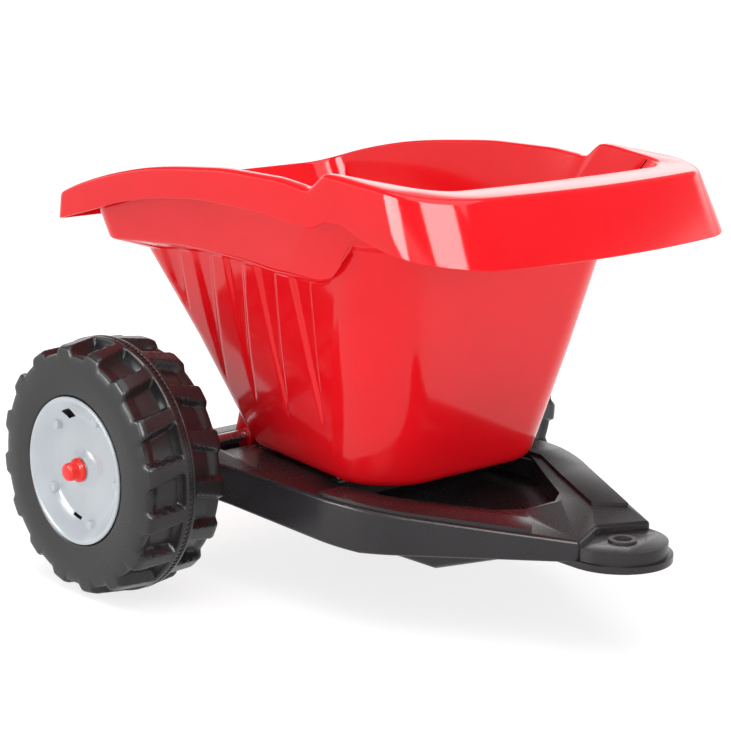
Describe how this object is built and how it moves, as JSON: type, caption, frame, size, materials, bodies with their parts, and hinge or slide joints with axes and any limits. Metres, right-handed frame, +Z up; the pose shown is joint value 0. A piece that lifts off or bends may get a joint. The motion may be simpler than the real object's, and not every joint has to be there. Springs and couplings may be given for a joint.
{
  "type": "ride-on toy tipping trailer",
  "caption": "Single-axle tipping trailer for a pedal tractor: a flared red tub on a black drawbar chassis with lugged wheels and a hitch eye.",
  "frame": {"origin": "on the floor under the middle of the trailer's length and width, wheels standing at z = 0", "axes": "+X forward to the hitch, +Y to the trailer's left, +Z up"},
  "size_m": [0.6284, 0.5524, 0.4135],
  "materials": {
    "red_moulding": "glossy moulded plastic",
    "black_moulding": "semi-gloss moulded plastic",
    "tyre": "satin blow-moulded plastic tyre",
    "rim": "pale grey gloss plastic",
    "red_cap": "glossy red plastic",
    "steel": "zinc plated",
    "bush": "dark nylon"
  },
  "bodies": {
    "chassis": {"chassis_frame": "black_moulding", "drawbar_foot": "black_moulding", "axle": "steel", "axle_clamp_left": "black_moulding", "axle_clamp_right": "black_moulding", "clamp_screws": "steel", "axle_spacer_left": "black_moulding", "axle_spacer_right": "black_moulding", "axle_washer_left": "steel", "axle_washer_right": "steel", "hub_cap_left": "red_cap", "hub_cap_right": "red_cap", "hitch_bush": "bush"},
    "tub": {"tub": "red_moulding"},
    "wheel_left": {"tyre_left": "tyre", "rim_outer_left": "rim", "rim_inner_left": "rim", "wheel_bush_left": "bush", "wheel_screws_left": "steel"},
    "wheel_right": {"tyre_right": "tyre", "rim_outer_right": "rim", "rim_inner_right": "rim", "wheel_bush_right": "bush", "wheel_screws_right": "steel"}
  },
  "joints": [
    {"name": "wheel_left_spin", "type": "hinge", "parent": "chassis", "child": "wheel_left", "pos_m": [-0.16025, 0.224, 0.12], "axis": [0, 1, 0], "continuous": true},
    {"name": "wheel_right_spin", "type": "hinge", "parent": "chassis", "child": "wheel_right", "pos_m": [-0.16025, -0.224, 0.12], "axis": [0, 1, 0], "continuous": true},
    {"name": "tub_tip", "type": "hinge", "parent": "chassis", "child": "tub", "pos_m": [-0.16025, 0, 0.12], "axis": [0, -1, 0], "range_deg": [0, 50]}
  ]
}
